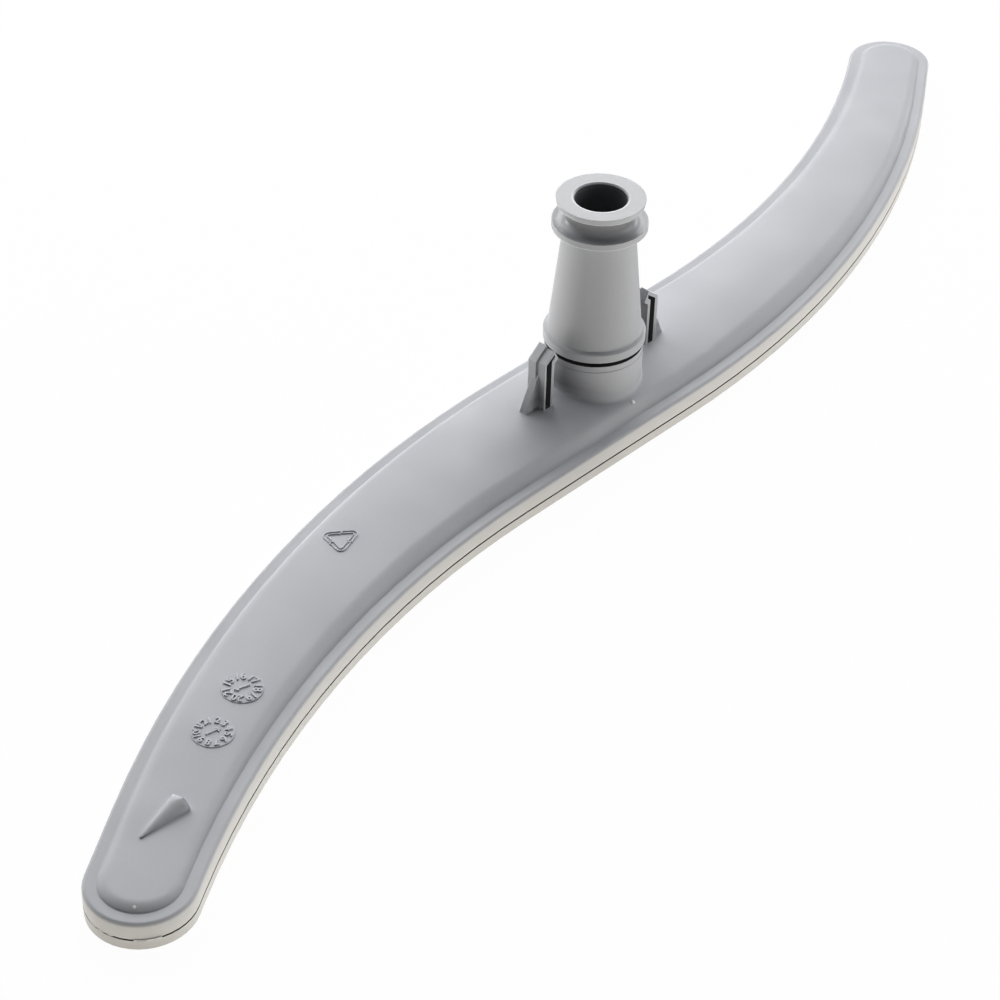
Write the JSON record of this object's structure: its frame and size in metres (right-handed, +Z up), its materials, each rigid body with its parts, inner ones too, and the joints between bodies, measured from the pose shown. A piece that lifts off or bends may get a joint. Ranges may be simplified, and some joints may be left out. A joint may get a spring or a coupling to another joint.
{
  "type": "dishwasher spray arm",
  "caption": "S-shaped hollow dishwasher spray arm with a crowned panel, snap hooks and a tall conical feed hub that turns in a socket at its middle.",
  "frame": {"origin": "on the hub axis, at the level of the flat spray face the arm lies on", "axes": "+Z up along the hub axis, +X along the line from tip to tip, +Y across the arm"},
  "size_m": [0.4598, 0.072, 0.0695],
  "materials": {
    "shell": "satin",
    "hub": "satin"
  },
  "bodies": {
    "arm": {"hub_side_shell": "shell", "spray_side_shell": "shell"},
    "hub": {"feed_hub": "hub"}
  },
  "joints": [
    {"name": "hub_spin", "type": "hinge", "parent": "arm", "child": "hub", "pos_m": [0, 0, 0.0175], "axis": [0, 0, 1], "continuous": true}
  ]
}
